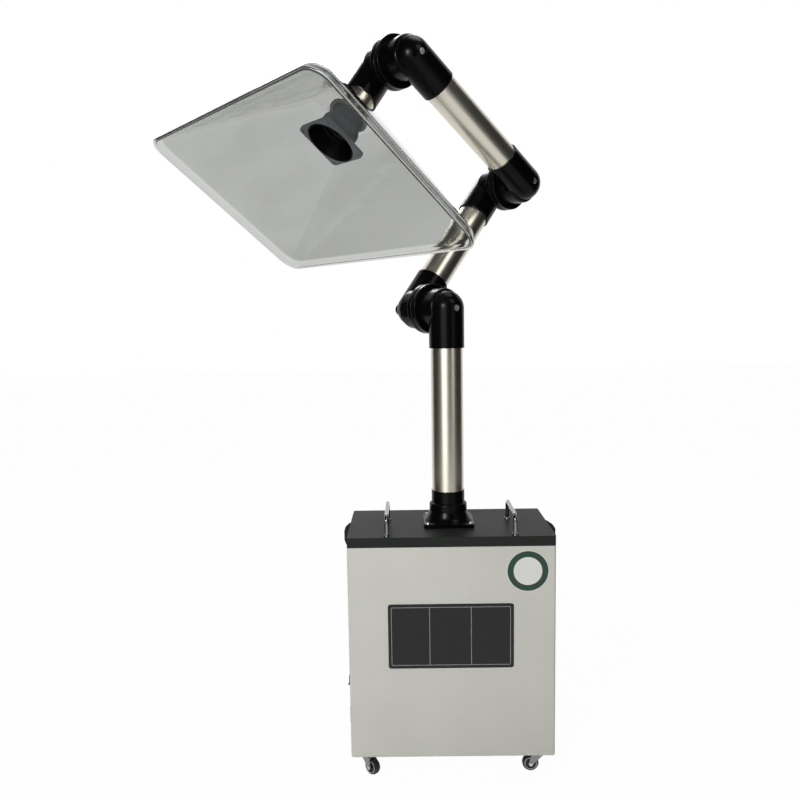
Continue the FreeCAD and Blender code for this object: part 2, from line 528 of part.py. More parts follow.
def caster(name, side_x, side_y, turn):
    """Swivel caster: a plate with a race, a pressed fork, an axle and a wheel that trails the kingpin."""
    spot = Vector(side_x * size("cabinet_width / 2 - caster_inset_x"),
                  side_y * size("cabinet_depth / 2 - caster_inset_y"), 0)
    place = Placement(spot, Rotation(Vector(0, 0, 1), turn))
    top, crown = "caster_height", "caster_height - plate_thick - race_height"
    plate = new_body("caster_plate_" + name)
    side = "plate_side / 2"
    square = rounded_rectangle(new_sketch(plate, "XY", top), side, side, "plate_round")
    pad(plate, square, "plate_thick", reverse=True)
    under = top + " - plate_thick"
    race = circle(new_sketch(plate, "XY", under), "race_radius")
    pad(plate, race, "race_height - race_gap", reverse=True)
    kingpin = circle(new_sketch(plate, "XY", under), "kingpin_radius")
    pad(plate, kingpin, "race_height + fork_crown + kingpin_end", reverse=True)
    plate.Placement = Placement(spot, NO_TURN)

    fork = new_body("caster_fork_" + name)
    inside = "wheel_width / 2 + fork_side_gap"
    outside = inside + " + fork_wall"
    head = rectangle(new_sketch(fork, "XY", crown), "-race_radius", "-(%s)" % outside, "race_radius", outside)
    pad(fork, head, "fork_crown", reverse=True)
    cheeks = new_sketch(fork, "XZ", "-(%s)" % outside)
    polygon(cheeks, [("-race_radius", crown + " - fork_crown / 2"),
                     ("-caster_trail - axle_radius * 2", "wheel_radius"),
                     ("-caster_trail", "wheel_radius - axle_radius * 2"),
                     ("-caster_trail + axle_radius * 2", "wheel_radius"),
                     ("race_radius", crown + " - fork_crown / 2")])
    pad(fork, cheeks, "2 * (%s)" % outside)
    gap = new_sketch(fork, "XZ", "-(%s)" % inside)
    rectangle(gap, "-3 * wheel_radius", "-wheel_radius", "3 * wheel_radius", crown + " - fork_crown")
    pocket(fork, gap, "2 * (%s)" % inside, reverse=True)
    pocket(fork, circle(new_sketch(fork, "XY", crown), "kingpin_radius + axle_clear"), "2 * fork_crown")
    cheek = new_sketch(fork, "XZ", "-(%s)" % outside)
    axle_hole = circle(cheek, "axle_radius", "-caster_trail", "wheel_radius")
    pocket(fork, axle_hole, "2 * (%s)" % outside, reverse=True)
    fork.Placement = place

    axle = new_body("caster_axle_" + name)
    rod = circle(new_sketch(axle, "XZ", "-(%s)" % outside), "axle_radius", "-caster_trail", "wheel_radius")
    pad(axle, rod, "2 * (%s)" % outside)
    for lift, back in (("-(%s)" % outside, True), (outside, False)):
        cap = circle(new_sketch(axle, "XZ", lift), "axle_radius + axle_cap", "-caster_trail", "wheel_radius")
        pad(axle, cap, "axle_head", reverse=back)
    axle.Placement = place

    wheel = new_body("caster_wheel_" + name)
    half = "wheel_width / 2"
    dish, hub = half + " - hub_recess", half + " - hub_recess + hub_step"
    bore = "axle_radius + axle_clear"
    near_side = [(bore, hub), ("hub_radius / 2", hub), ("hub_radius / 2", dish), ("hub_radius", dish),
                 ("hub_radius", half), ("wheel_radius - wheel_round / 2", half),
                 ("wheel_radius", half + " - wheel_round")]
    far_side = [(out, "-(%s)" % up) for out, up in reversed(near_side)]
    section = polygon(new_sketch(wheel, "XY"), near_side + far_side)
    revolve(wheel, section)
    hub_spot = Vector(-size("caster_trail"), 0, size("wheel_radius"))
    wheel.Placement = place.multiply(Placement(hub_spot, NO_TURN))


def duct_adapter(label, place):
    """Moulded adapter: a square flange that swells through a bell into a round collar for the tube."""
    body = new_body(label)
    flange = rounded_rectangle(new_sketch(body, "XY"), "flange_side / 2", "flange_side / 2", "flange_round")
    pad(body, flange, "flange_thick")
    bell = [("0", "0"), ("bell_foot", "0"), ("bell_foot", "flange_thick"), ("bell_waist", "waist_height"),
            ("shoulder_radius", "neck_height"), ("shoulder_radius", "shoulder_height"),
            ("collar_radius", "shoulder_height"), ("collar_radius", "adapter_height"),
            ("0", "adapter_height")]
    revolve(body, polygon(new_sketch(body, "XZ"), bell))
    shoulder = "shoulder_height"
    soften(body, "shoulder_round", lambda edge: is_ring(edge, "shoulder_radius")
           and near(edge.CenterOfMass.z, shoulder))
    soften(body, "bell_round", lambda edge: is_ring(edge, "bell_waist"))
    seat = "adapter_height - seat_depth"
    mouth = [("0", "0"), ("mouth_radius", "0"), ("bell_waist - bell_wall", "waist_height"),
             ("shoulder_radius - bell_wall", "neck_height"),
             ("shoulder_radius - bell_wall", seat + " - 2 * seat_ledge"),
             ("duct_radius", seat + " - seat_ledge"), ("duct_radius", seat), ("0", seat)]
    revolve(body, polygon(new_sketch(body, "XZ"), mouth), "Groove")
    pocket(body, circle(new_sketch(body, "XY", "adapter_height"), "tube_radius + swivel_clear"), "seat_depth")
    pocket(body, screw_circles(new_sketch(body, "XY", "flange_thick")), "flange_thick")
    body.Placement = place


def flange_screws(label, place, length):
    """Four low-headed screws that hold a duct adapter's flange down."""
    pieces = []
    spread = size("flange_hole_spread")
    for side_x in (-1, 1):
        for side_y in (-1, 1):
            spot = Vector(side_x * spread, side_y * spread, size("flange_thick"))
            seat = place.multiply(Placement(spot, NO_TURN))
            head = doc.addObject("Part::Cone", label + "_head")
            head.setExpression("Radius1", linked("screw_head"))
            head.setExpression("Radius2", linked("screw_head - screw_head_rise / 2"))
            head.setExpression("Height", linked("screw_head_rise"))
            head.Placement = seat
            shank = doc.addObject("Part::Cylinder", label + "_shank")
            shank.setExpression("Radius", linked("flange_hole - screw_clear"))
            shank.setExpression("Height", linked(length))
            shank.Placement = seat.multiply(Placement(Vector(0, 0, -size(length)), NO_TURN))
            screw = doc.addObject("Part::Fuse", label + "_screw")
            screw.Base = head
            screw.Tool = shank
            pieces.append(screw)
    group = doc.addObject("Part::Compound", label)
    group.Links = pieces
    parts.append(group)


def tube(label, length, place):
    """Plain drawn aluminium tube, upright from its lower end."""
    body = new_body(label)
    wall = circle(circle(new_sketch(body, "XY"), "tube_radius"), "tube_radius - tube_wall")
    pad(body, wall, length)
    body.Placement = place


def elbow(label, place):
    """One moulded half of a hinge elbow: a tube socket that turns into a domed drum with a ring face.

    The socket runs down -Z and the drum faces +Y, along the hinge's axis.
    """
    body = new_body(label)
    face = "half_offset - (washer_thick + washer_gap) / 2"
    drum = polygon(new_sketch(body, "XY"), [
        ("0", "-drum_start"), ("drum_radius", "-drum_start"), ("drum_radius", "drum_end"),
        ("ring_radius", "drum_end"), ("ring_radius", face), ("0", face)])
    revolve(body, drum)
    soften(body, "drum_round", lambda edge: is_ring(edge, "drum_radius")
           and near(edge.CenterOfMass.y, "-drum_start"))
    soften(body, "ring_round", lambda edge: is_ring(edge, "ring_radius"))
    revolve(body, domed_rod(new_sketch(body, "XZ"), "socket_radius", "socket_length"))
    rail = rectangle(new_sketch(body, "XY"), "-rail_width / 2", "-(socket_radius + rail_rise)",
                     "rail_width / 2", "-socket_radius / 2")
    pad(body, rail, "socket_length - rail_end", reverse=True)
    hollow = polygon(new_sketch(body, "XY"), [
        ("0", "-cavity_end"), ("cavity_end_radius", "-cavity_end"), ("cavity_neck", "-drum_start"),
        ("cavity_radius", "drum_round"), ("cavity_radius", face), ("0", face)])
    revolve(body, hollow, "Groove")
    pocket(body, circle(new_sketch(body, "XY"), "duct_radius"), "socket_length")
    seat = circle(new_sketch(body, "XY", "-socket_stop"), "tube_radius + elbow_clear")
    pocket(body, seat, "socket_length")
    out = "socket_radius + rail_rise"
    pocket(body, circle(new_sketch(body, "XZ", out), "recess_radius"), "recess_depth + rail_rise")
    pocket(body, circle(new_sketch(body, "XZ", out), "bolt_radius + bolt_clear"), "socket_radius")
    body.Placement = place


def hinge_hardware(letter, spot):
    """Friction washer, through bolt and fluted hand knob of one hinge, laid along its axis."""
    place = arm_place(spot, False, NO_TURN)
    face = "half_offset - (washer_thick + washer_gap) / 2"
    washer = new_body("hinge_washer_" + letter)
    disc = circle(circle(new_sketch(washer, "XZ", "-(%s)" % face), "washer_outer"), "washer_inner")
    pad(washer, disc, "washer_thick", reverse=True)
    washer.Placement = place

    bolt = new_body("hinge_bolt_" + letter)
    seat = "socket_radius - recess_depth"
    end = "2 * half_offset + socket_radius + rail_rise + knob_length + bolt_tip"
    cap = "(%s + bolt_head_thick)" % seat
    shaft = polygon(new_sketch(bolt, "XY"), [
        ("0", "-" + cap), ("bolt_head - bolt_head_edge", "-" + cap),
        ("bolt_head", "-(%s - bolt_head_edge)" % cap), ("bolt_head", "-(%s)" % seat),
        ("bolt_radius", "-(%s)" % seat), ("bolt_radius", end), ("0", end)])
    revolve(bolt, shaft)
    bolt.Placement = place

    knob = new_body("hinge_knob_" + letter)
    outer = "2 * half_offset + socket_radius + rail_rise + knob_gap"
    inner = "2 * half_offset + socket_radius - recess_depth + knob_gap"
    bore, top = "bolt_radius + bolt_clear", outer + " + knob_length"
    turned = polygon(new_sketch(knob, "XY"), [
        (bore, inner), ("knob_collar", inner), ("knob_collar", outer), ("knob_radius", outer),
        ("knob_radius", top + " - knob_crown"), ("knob_radius - knob_crown_in", top), (bore, top)])
    revolve(knob, turned)
    groove = circle(new_sketch(knob, "XZ", "-(%s)" % outer), "flute_radius", "knob_radius + flute_radius / 2")
    flute = pocket(knob, groove, "knob_length", reverse=True)
    pattern(knob, flute, "PolarPattern", "flute_count", Axis=(origin_of(knob, "Y_Axis"), [""]), Angle=360)
    knob.Placement = place


def hood(place):
    """Clear formed hood: a square-edged skirt, four sloping walls and a flat crown with the tube's hole."""
    body = new_body("hood")
    flat = "head_span - adapter_height - grommet_lip - hood_wall"
    rim = "head_span + hood_reach"
    deep = rim + " - hood_skirt"
    half_a, half_b = "hood_short / 2", "hood_long / 2"

    def outline(lift, half_across, half_up, corner, inset):
        return rounded_rectangle(new_sketch(body, "XY", lift), "%s - %s" % (half_across, inset),
                                 "%s - %s" % (half_up, inset), "%s - %s" % (corner, inset))

    def sections(inset):
        return [outline(rim, half_a, half_b, "hood_round", inset),
                outline(deep, half_a, half_b, "hood_round", inset),
                outline("%s + %s" % (flat, inset), "hood_flat_short / 2", "hood_flat_long / 2",
                        "hood_flat_round", inset)]

    loft(body, sections("0"))
    lip = outline(rim, half_a, half_b, "hood_round", "(-hood_lip)")
    pad(body, lip, "hood_lip_thick", reverse=True)
    loft(body, sections("hood_wall"), "SubtractiveLoft")
    pocket(body, circle(new_sketch(body, "XY", flat), "grommet_neck"), "3 * hood_wall", reverse=True)
    body.Placement = place

    grommet = new_body("hood_grommet")
    bore = "tube_radius + swivel_clear"
    low, high = flat + " - grommet_lip", flat + " + hood_wall + grommet_lip"
    ring = polygon(new_sketch(grommet, "XZ"), [
        (bore, low), ("grommet_radius", low), ("grommet_radius", flat), ("grommet_neck", flat),
        ("grommet_neck", flat + " + hood_wall"), ("grommet_radius", flat + " + hood_wall"),
        ("grommet_radius", high), (bore, high)])
    revolve(grommet, ring)
    grommet.Placement = place


cabinet_shell()
lid()
lid_seal()
handle("handle_left", -1)
handle("handle_right", 1)
side_grip("side_grip_left", -1)
side_grip("side_grip_right", 1)
rocker_switch()
power_inlet()
blower()
filter_stack()
for caster_name, at_x, at_y, swivel in (("front_left", -1, -1, 135), ("front_right", 1, -1, 0),
                                        ("rear_left", -1, 1, 160), ("rear_right", 1, 1, 25)):
    caster(caster_name, at_x, at_y, swivel)

lid_top = Placement(Vector(0, 0, size(LID_TOP)), NO_TURN)
duct_adapter("base_adapter", lid_top)
flange_screws("base_screws", lid_top, "flange_thick + sheet_wall + screw_grip")
seat_height = LID_TOP + " + adapter_height - seat_depth"
tube("tube_mast", "shoulder_z - socket_stop - (%s)" % seat_height,
     arm_place(Vector(0, 0, size(seat_height)), False, NO_TURN))
elbow("elbow_a_lower", arm_place(HINGE_A, False, NO_TURN))
elbow("elbow_a_upper", arm_place(HINGE_A, True, lean("angle_two").multiply(TURN_X)))
tube("tube_two", "tube_two_span - 2 * socket_stop",
     arm_place(HINGE_A + along("angle_two", "socket_stop"), True, lean("angle_two")))
elbow("elbow_b_lower", arm_place(HINGE_B, True, lean("angle_two").multiply(TURN_Z)))
elbow("elbow_b_upper", arm_place(HINGE_B, False, lean("angle_three").multiply(TURN_Y)))
tube("tube_three", "tube_three_span - 2 * socket_stop",
     arm_place(HINGE_B + along("angle_three", "socket_stop"), False, lean("angle_three")))
elbow("elbow_c_lower", arm_place(HINGE_C, False, lean("angle_three")))
elbow("elbow_c_upper", arm_place(HINGE_C, True, lean("angle_head").multiply(TURN_X)))
tube("tube_head", "head_span - adapter_height + seat_depth - socket_stop",
     arm_place(HINGE_C + along("angle_head", "socket_stop"), True, lean("angle_head")))
for hinge_letter, hinge_spot in (("a", HINGE_A), ("b", HINGE_B), ("c", HINGE_C)):
    hinge_hardware(hinge_letter, hinge_spot)
head_place = arm_place(HINGE_C, True, lean("angle_head"))
hood(head_place)
mouth = arm_place(HINGE_C + along("angle_head", "head_span"), True, lean("angle_head").multiply(TURN_X))
duct_adapter("hood_nozzle", mouth)

doc.recompute()

# Every object has to have come out whole before any file is written.
for item in doc.Objects:
    if "Invalid" in item.State or "Error" in item.State:
        raise RuntimeError("%s did not build: %s" % (item.Name, item.State))
for item in parts:
    if item.Shape.isNull() or not item.Shape.isValid():
        raise RuntimeError(item.Label + " has no sound shape")

os.makedirs("parts", exist_ok=True)
for item in parts:
    item.Shape.exportStep(os.path.join("parts", item.Label + ".step"))
print("%d parts written" % len(parts))
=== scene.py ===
import bpy
import json
import math
from mathutils import Matrix, Vector


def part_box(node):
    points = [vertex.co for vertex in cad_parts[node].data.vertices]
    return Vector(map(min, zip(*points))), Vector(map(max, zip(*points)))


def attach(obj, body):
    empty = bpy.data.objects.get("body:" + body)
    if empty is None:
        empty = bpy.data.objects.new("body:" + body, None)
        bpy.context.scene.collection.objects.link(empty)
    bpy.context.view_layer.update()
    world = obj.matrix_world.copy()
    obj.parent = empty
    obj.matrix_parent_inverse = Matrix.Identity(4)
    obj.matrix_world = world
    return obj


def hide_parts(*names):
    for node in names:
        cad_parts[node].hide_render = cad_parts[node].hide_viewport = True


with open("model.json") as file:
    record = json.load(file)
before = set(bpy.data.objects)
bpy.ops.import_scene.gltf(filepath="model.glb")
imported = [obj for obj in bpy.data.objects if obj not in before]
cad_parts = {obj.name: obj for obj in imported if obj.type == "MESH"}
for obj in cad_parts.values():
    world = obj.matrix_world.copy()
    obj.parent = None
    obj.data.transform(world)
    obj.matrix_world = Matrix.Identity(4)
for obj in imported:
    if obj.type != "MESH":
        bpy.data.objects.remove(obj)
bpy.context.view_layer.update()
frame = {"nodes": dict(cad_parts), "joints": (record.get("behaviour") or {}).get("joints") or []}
nodes = frame["nodes"]
joints = {joint["name"]: joint for joint in frame["joints"]}
scene = bpy.context.scene
scene.view_settings.view_transform = "Standard"

# The studio: a white floor that runs into a white backdrop, with soft boxes in front, overhead and behind.
# Dark cards at the sides, in front and on top keep the black mouldings and the metal deep. The camera
# stands where the photograph was taken.
WHITE, WHITE_STRENGTH, DAYLIGHT = (1, 1, 1, 1), 1.0, 0.5
FLOOR_SIDE, FLOOR_PAINT, FLOOR_GLOW = 30.0, (0.9, 0.9, 0.9, 1), 0.975
CARD_PAINT, MATT = (0.03, 0.03, 0.03, 1), 0.9
CARD_TALL, CARD_DEEP, CARD_WIDE, CARD_FRONT = 3.4, 4.6, 4.0, -3.3
FACING_UP, FACING_SIDE, FACING_FRONT = (0, 0, 0), (0, math.pi / 2, 0), (math.pi / 2, 0, 0)
EYE = (-0.0927, -1.9053, 1.0575)
HEADING, PITCH, ROLL, LOOKING_AHEAD = 0.57, -6.37, 0.89, 90
LENS, SENSOR, RISE = 36.49, 36, 0.0126


def deselect():
    """Nothing stays selected, so that the next operator touches its own piece alone."""
    bpy.ops.object.select_all(action="DESELECT")


def seen_straight(tree):
    """A value that is 1 where the eye, a mirror or a clear sheet looks at a thing, and 0 for its light."""
    path = tree.nodes.new("ShaderNodeLightPath")
    look = path.outputs["Is Camera Ray"]
    for kind in ("Is Glossy Ray", "Is Transmission Ray"):
        either = tree.nodes.new("ShaderNodeMath")
        either.operation = "MAXIMUM"
        tree.links.new(look, either.inputs[0])
        tree.links.new(path.outputs[kind], either.inputs[1])
        look = either.outputs[0]
    return look


def show(tree, output, mask, lit, looked_at):
    """The output shows one shader where the mask is 0 and another where it is 1."""
    mixed = tree.nodes.new("ShaderNodeMixShader")
    for socket, source in zip(mixed.inputs, (mask, lit, looked_at)):
        tree.links.new(source, socket)
    tree.links.new(mixed.outputs[0], tree.nodes[output].inputs["Surface"])


def matt_paint(name, colour):
    """Studio paint without any shine."""
    material = bpy.data.materials.new(name)
    material.use_nodes = True
    paint = material.node_tree.nodes["Principled BSDF"]
    paint.inputs["Base Color"].default_value = colour
    paint.inputs["Roughness"].default_value = MATT
    paint.inputs["Specular IOR Level"].default_value = 0.0
    return material


world = bpy.data.worlds.new("white_studio")
scene.world = world
world.use_nodes = True
world_tree = world.node_tree
sky = world_tree.nodes["Background"]
backdrop = world_tree.nodes.new("ShaderNodeBackground")
for white_light, strength in ((sky, DAYLIGHT), (backdrop, WHITE_STRENGTH)):
    white_light.inputs["Color"].default_value = WHITE
    white_light.inputs["Strength"].default_value = strength
show(world_tree, "World Output", seen_straight(world_tree), sky.outputs[0], backdrop.outputs[0])

deselect()
bpy.ops.mesh.primitive_plane_add(size=FLOOR_SIDE)
floor = bpy.context.object
floor.name = "studio_floor"
floor_white = matt_paint("floor_white", FLOOR_PAINT)
floor_tree = floor_white.node_tree
glow = floor_tree.nodes.new("ShaderNodeEmission")
glow.inputs["Strength"].default_value = WHITE_STRENGTH
glow_share = floor_tree.nodes.new("ShaderNodeMath")
glow_share.operation = "MULTIPLY"
glow_share.inputs[1].default_value = FLOOR_GLOW
floor_tree.links.new(seen_straight(floor_tree), glow_share.inputs[0])
floor_paint = floor_tree.nodes["Principled BSDF"]
show(floor_tree, "Material Output", glow_share.outputs[0], floor_paint.outputs[0], glow.outputs[0])
floor.data.materials.append(floor_white)

card_grey = matt_paint("card_grey", CARD_PAINT)
card_middle = CARD_FRONT + CARD_DEEP / 2
CARDS = {
    "left": ((-CARD_WIDE / 2, card_middle, CARD_TALL / 2), FACING_SIDE, (CARD_TALL, CARD_DEEP)),
    "right": ((CARD_WIDE / 2, card_middle, CARD_TALL / 2), FACING_SIDE, (CARD_TALL, CARD_DEEP)),
    "front": ((0, CARD_FRONT, CARD_TALL / 2), FACING_FRONT, (CARD_WIDE, CARD_TALL)),
    "top": ((0, card_middle, CARD_TALL), FACING_UP, (CARD_WIDE, CARD_DEEP)),
}
for side, (place, turn, sides) in CARDS.items():
    deselect()
    bpy.ops.mesh.primitive_plane_add(size=1, location=place, rotation=turn)
    card = bpy.context.object
    card.name = "studio_card_" + side
    card.scale = (*sides, 1)
    card.visible_camera = False
    card.visible_transmission = False
    card.data.materials.append(card_grey)


def soft_box(name, place, aim, width, height, power, only_mirrored=False):
    """A soft box that stands at a place and points at another, to light things or only to be mirrored."""
    lamp = bpy.data.lights.new(name, "AREA")
    lamp.shape = "RECTANGLE"
    lamp.size, lamp.size_y, lamp.energy = width, height, power
    stand = bpy.data.objects.new(name, lamp)
    scene.collection.objects.link(stand)
    stand.visible_camera = False
    stand.visible_transmission = False
    stand.visible_diffuse = not only_mirrored
    stand.location = place
    stand.rotation_euler = (Vector(aim) - Vector(place)).to_track_quat("-Z", "Y").to_euler()


soft_box("window_box", (-0.88, -2.3, 1.2), aim=(0, 0, 1.1), width=1.5, height=2.2, power=22)
soft_box("key_box", (-0.95, -2.1, 1.8), aim=(0, 0, 0.95), width=0.35, height=0.5, power=29)
soft_box("fill_box", (1.5, -1.7, 1.1), aim=(0, 0, 0.9), width=0.5, height=1.2, power=2.5)
soft_box("arm_box", (1.2, -1.2, 2.65), aim=(0, 0.1, 1.3), width=0.8, height=0.8, power=7, only_mirrored=True)
soft_box("top_box", (0.3, 0.3, 3.2), aim=(0, 0, 1.0), width=1.0, height=1.0, power=12)
soft_box("back_box", (-0.5, 2.4, 2.9), aim=(0, 0, 0.9), width=1.0, height=1.0, power=24)

lens = bpy.data.cameras.new("photo_camera")
lens.lens, lens.sensor_width, lens.shift_y = LENS, SENSOR, RISE
camera = bpy.data.objects.new("photo_camera", lens)
scene.collection.objects.link(camera)
camera_stance = Matrix.Translation(EYE)
for degrees, axis in ((HEADING, "Z"), (PITCH, "X"), (ROLL, "Y"), (LOOKING_AHEAD, "X")):
    camera_stance = camera_stance @ Matrix.Rotation(math.radians(degrees), 4, axis)
camera.matrix_world = camera_stance
scene.camera = camera


# The cabinet: a box of folded sheet steel with an inward lip round its mouth and vents in its back.
# It has a warm white powder coat with a slight orange peel, a little greyer in broad patches.
def shade(red, green, blue):
    """A colour given as it looks on a screen, 0 to 255, in the linear light that shaders use."""
    tone = [v / 255 for v in (red, green, blue)]
    return [v / 12.92 if v <= 0.04045 else ((v + 0.055) / 1.055) ** 2.4 for v in tone] + [1.0]


SHELL_WHITE, SHELL_SOILED = shade(206, 206, 198), shade(190, 190, 182)
GRAIN_DEPTH, FINE_DETAIL, BROAD_DETAIL = 0.0005, 3, 5

surface_grain = bpy.data.node_groups.new("surface_grain", "ShaderNodeTree")
GRAIN_SOCKETS = (
    ("Place", "INPUT", "NodeSocketVector"),
    ("Scale", "INPUT", "NodeSocketFloat"),
    ("Patch", "INPUT", "NodeSocketFloat"),
    ("Height", "OUTPUT", "NodeSocketFloat"),
    ("Mottle", "OUTPUT", "NodeSocketFloat"),
)
for name, way, kind in GRAIN_SOCKETS:
    surface_grain.interface.new_socket(name, in_out=way, socket_type=kind)
group_in = surface_grain.nodes.new("NodeGroupInput")
group_out = surface_grain.nodes.new("NodeGroupOutput")
for size_socket, out, detail in (("Scale", "Height", FINE_DETAIL), ("Patch", "Mottle", BROAD_DETAIL)):
    noise = surface_grain.nodes.new("ShaderNodeTexNoise")
    noise.inputs["Detail"].default_value = detail
    surface_grain.links.new(group_in.outputs["Place"], noise.inputs["Vector"])
    surface_grain.links.new(group_in.outputs[size_socket], noise.inputs["Scale"])
    surface_grain.links.new(noise.outputs["Fac"], group_out.inputs[out])


def grain_on(tree, grain, patch, drawn_along=None):
    """The surface grain in a material, even all ways or drawn out along a vector by its length."""
    where = tree.nodes.new("ShaderNodeTexCoord")
    texture = tree.nodes.new("ShaderNodeGroup")
    texture.node_tree = surface_grain
    texture.inputs["Scale"].default_value = grain
    texture.inputs["Patch"].default_value = patch
    place = where.outputs["Object"]
    if drawn_along:
        lay = tree.nodes.new("ShaderNodeMapping")
        lay.vector_type = "TEXTURE"
        lay.inputs["Rotation"].default_value = Vector(drawn_along).to_track_quat("Z", "Y").to_euler()
        lay.inputs["Scale"].default_value = (1, 1, Vector(drawn_along).length)
        tree.links.new(place, lay.inputs["Vector"])
        place = lay.outputs[0]
    tree.links.new(place, texture.inputs["Place"])
    return texture


# A mix node has sockets of the same names for numbers and vectors, so its colours go by their places.
MIX_UNDER, MIX_OVER, MIX_OUT = 6, 7, 2


def tint_by(tree, mask, over):
    """A colour mix that shows its second colour where the mask is 1."""
    tint = tree.nodes.new("ShaderNodeMix")
    tint.data_type = "RGBA"
    tint.inputs[MIX_OVER].default_value = over
    tree.links.new(mask, tint.inputs["Factor"])
    return tint


def slide(tree, value, start, stop, low, high):
    """A value that goes evenly from low to high while another goes from start to stop."""
    ramp = tree.nodes.new("ShaderNodeMapRange")
    for socket, number in (("From Min", start), ("From Max", stop), ("To Min", low), ("To Max", high)):
        ramp.inputs[socket].default_value = number
    tree.links.new(value, ramp.inputs["Value"])
    return ramp.outputs[0]


def finish(name, colour, worn, rough, grain, patch, bump, drawn_along=None, depth=GRAIN_DEPTH, **fixed):
    """A material that wanders between two colours and two roughnesses, with a fine grain on it."""
    material = bpy.data.materials.new(name)
    material.use_nodes = True
    tree = material.node_tree
    shader = tree.nodes["Principled BSDF"]
    for socket, value in fixed.items():
        shader.inputs[socket.replace("_", " ")].default_value = value
    texture = grain_on(tree, grain, patch, drawn_along)
    tint = tint_by(tree, texture.outputs["Mottle"], worn)
    tint.inputs[MIX_UNDER].default_value = colour
    tree.links.new(tint.outputs[MIX_OUT], shader.inputs["Base Color"])
    tree.links.new(slide(tree, texture.outputs["Mottle"], 0, 1, *rough), shader.inputs["Roughness"])
    relief = tree.nodes.new("ShaderNodeBump")
    relief.inputs["Strength"].default_value = bump
    relief.inputs["Distance"].default_value = depth
    tree.links.new(texture.outputs["Height"], relief.inputs["Height"])
    tree.links.new(relief.outputs[0], shader.inputs["Normal"])
    return material


def dress(material, *names):
    """A CAD node keeps its shape and takes a material."""
    for name in names:
        nodes[name].data.materials.clear()
        nodes[name].data.materials.append(material)


shell_paint = finish("shell_paint", SHELL_WHITE, SHELL_SOILED,
                     rough=(0.38, 0.5), grain=700, patch=6, bump=0.25)
dress(shell_paint, "cabinet_shell")

# The casters: four swivel casters under the cabinet's floor, with zinc-plated plates and axles, bright
# pressed forks that turn on the plates, and black wheels with a grey ring round the hub.
CORNERS = ("front_left", "front_right", "rear_left", "rear_right")
HUB_RING, HUB_RING_HALF = 0.0135, 0.0014
HUB_GREY = shade(138, 139, 140)
zinc_steel = finish("zinc_steel", shade(188, 190, 193), shade(168, 170, 174),
                    rough=(0.22, 0.4), grain=400, patch=40, bump=0.08, Metallic=1.0)
# The chrome is painted darker than plated metal is, a painted shade for the dark room mirrored in it.
chrome = finish("chrome", shade(138, 139, 142), shade(122, 123, 126),
                rough=(0.06, 0.14), grain=300, patch=12, bump=0.05, Metallic=1.0)


def out_and_up(tree, spot, axis):
    """How far a place lies out from an axis through a spot, and how far up along it."""
    where = tree.nodes.new("ShaderNodeTexCoord")
    lay = tree.nodes.new("ShaderNodeMapping")
    lay.vector_type = "TEXTURE"
    lay.inputs["Location"].default_value = spot
    lay.inputs["Rotation"].default_value = Vector(axis).to_track_quat("Z", "Y").to_euler()
    tree.links.new(where.outputs["Object"], lay.inputs["Vector"])
    across = tree.nodes.new("ShaderNodeVectorMath")
    across.operation = "MULTIPLY"
    across.inputs[1].default_value = (1, 1, 0)
    tree.links.new(lay.outputs[0], across.inputs[0])
    reach = tree.nodes.new("ShaderNodeVectorMath")
    reach.operation = "LENGTH"
    tree.links.new(across.outputs[0], reach.inputs[0])
    height = tree.nodes.new("ShaderNodeSeparateXYZ")
    tree.links.new(lay.outputs[0], height.inputs[0])
    return reach.outputs["Value"], height.outputs["Z"]


def paint_over(tree, mask, colour):
    """A second colour laid over a material's own where the mask is 1."""
    paint = tree.nodes["Principled BSDF"].inputs["Base Color"]
    lined = tint_by(tree, mask, colour)
    tree.links.new(paint.links[0].from_socket, lined.inputs[MIX_UNDER])
    tree.links.new(lined.outputs[MIX_OUT], paint)


for corner in CORNERS:
    dress(zinc_steel, "caster_plate_" + corner, "caster_axle_" + corner)
    dress(chrome, "caster_fork_" + corner)
    tyre = finish("caster_rubber_" + corner, shade(12, 12, 13), shade(20, 20, 20),
                  rough=(0.5, 0.7), grain=900, patch=40, bump=0.3)
    tyre_tree = tyre.node_tree
    roll = joints["caster_roll_" + corner]
    wheel_reach, _ = out_and_up(tyre_tree, roll["pos_m"], roll["axis"])
    hub = tyre_tree.nodes.new("ShaderNodeMath")
    hub.operation = "COMPARE"
    hub.inputs[1].default_value, hub.inputs[2].default_value = HUB_RING, HUB_RING_HALF
    tyre_tree.links.new(wheel_reach, hub.inputs[0])
    paint_over(tyre_tree, hub.outputs[0], HUB_GREY)
    dress(tyre, "caster_wheel_" + corner)

# The switch and the mains inlet: black moulded fittings pushed into cut-outs in the cabinet's left side.
# The cases have a fine matt grain and the rocker is polished.
switch_black = finish("switch_black", shade(24, 24, 25), shade(30, 30, 31),
                      rough=(0.45, 0.6), grain=1500, patch=30, bump=0.3)
dress(switch_black, "switch_case", "power_inlet")
rocker_black = finish("rocker_black", shade(16, 16, 16), shade(20, 20, 20),
                      rough=(0.18, 0.25), grain=800, patch=30, bump=0.05)
dress(rocker_black, "switch_rocker")

